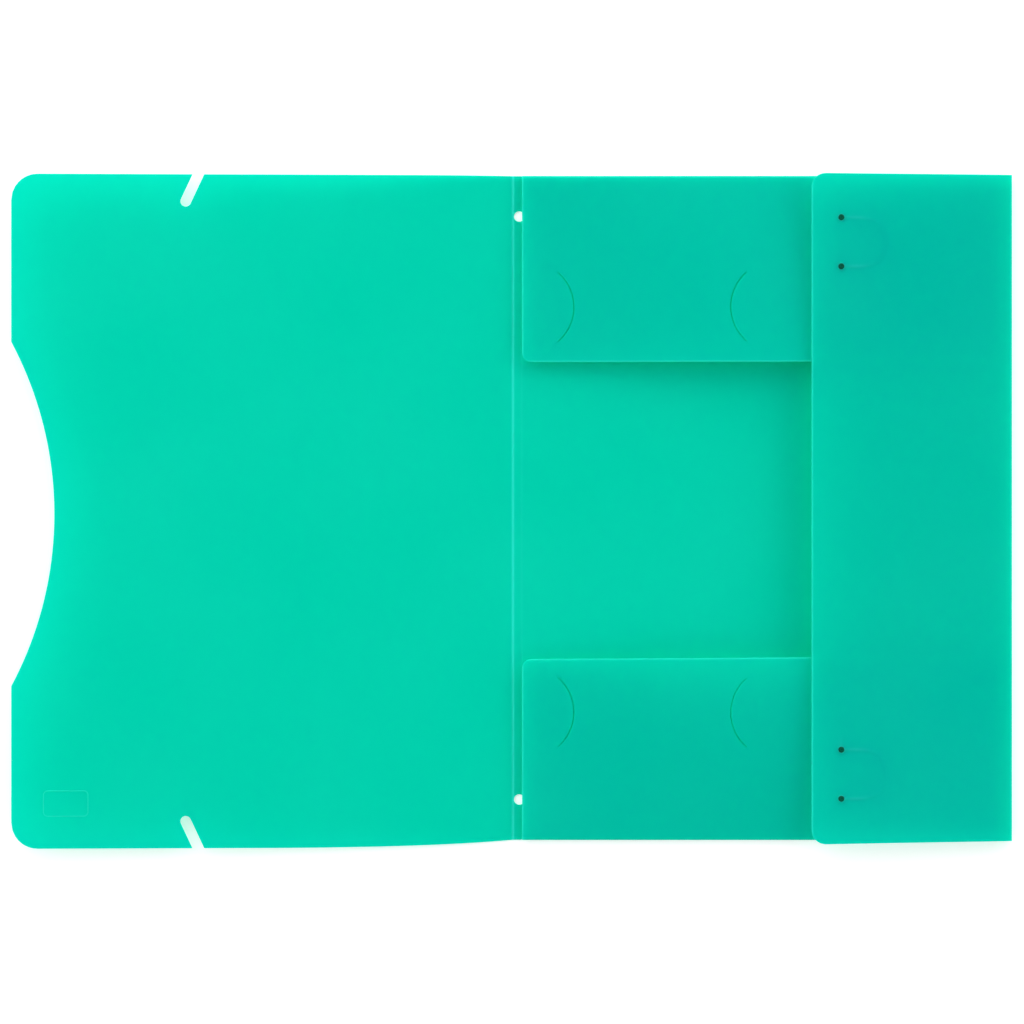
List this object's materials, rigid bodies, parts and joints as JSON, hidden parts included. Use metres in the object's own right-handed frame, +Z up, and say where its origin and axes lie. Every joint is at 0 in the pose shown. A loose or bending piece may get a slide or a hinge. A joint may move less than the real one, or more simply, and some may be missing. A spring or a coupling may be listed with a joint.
{
  "type": "elastic folder",
  "caption": "Three-flap A4 document folder creased from translucent plastic sheet, opened flat, with a hinged cover, hinged side flap and elastic cord loops.",
  "frame": {"origin": "on the table, under the middle of the opened folder's outline", "axes": "+X from the cover across the spine to the side flap's fold, +Y towards the top edge, +Z up from the table"},
  "size_m": [0.4744, 0.3198, 0.0092],
  "materials": {
    "green_polypropylene": "fine matt texture, translucent",
    "elastic_cord": "braided cover",
    "dark_stud": "satin"
  },
  "bodies": {
    "back": {"back_panel_with_flaps": "green_polypropylene"},
    "spine": {"spine": "green_polypropylene"},
    "cover": {"front_cover": "green_polypropylene"},
    "side_wall": {"side_wall": "green_polypropylene"},
    "side_flap": {"side_flap": "green_polypropylene", "top_elastic_loop": "elastic_cord", "bottom_elastic_loop": "elastic_cord", "top_loop_upper_stud": "dark_stud", "top_loop_lower_stud": "dark_stud", "bottom_loop_upper_stud": "dark_stud", "bottom_loop_lower_stud": "dark_stud"}
  },
  "joints": [
    {"name": "spine_fold", "type": "hinge", "parent": "back", "child": "spine", "pos_m": [0.00467, 0, 0.0005], "axis": [0, 1, 0], "range_deg": [0, 90]},
    {"name": "cover_fold", "type": "hinge", "parent": "spine", "child": "cover", "pos_m": [0.00047, 0, 0.0005], "axis": [0, 1, 0], "range_deg": [0, 86.4]},
    {"name": "side_wall_fold", "type": "hinge", "parent": "back", "child": "side_wall", "pos_m": [0.23667, 0, 0.0005], "axis": [0, 1, 0], "range_deg": [0, 90]},
    {"name": "side_flap_fold", "type": "hinge", "parent": "side_wall", "child": "side_flap", "pos_m": [0.23667, 0, 0.0047], "axis": [0, 1, 0], "range_deg": [0, 87.6]}
  ],
  "couplings": [
    {"joint": "spine_fold", "follows": "cover_fold", "ratio": 1.0416},
    {"joint": "side_wall_fold", "follows": "side_flap_fold", "ratio": 1.0273}
  ]
}
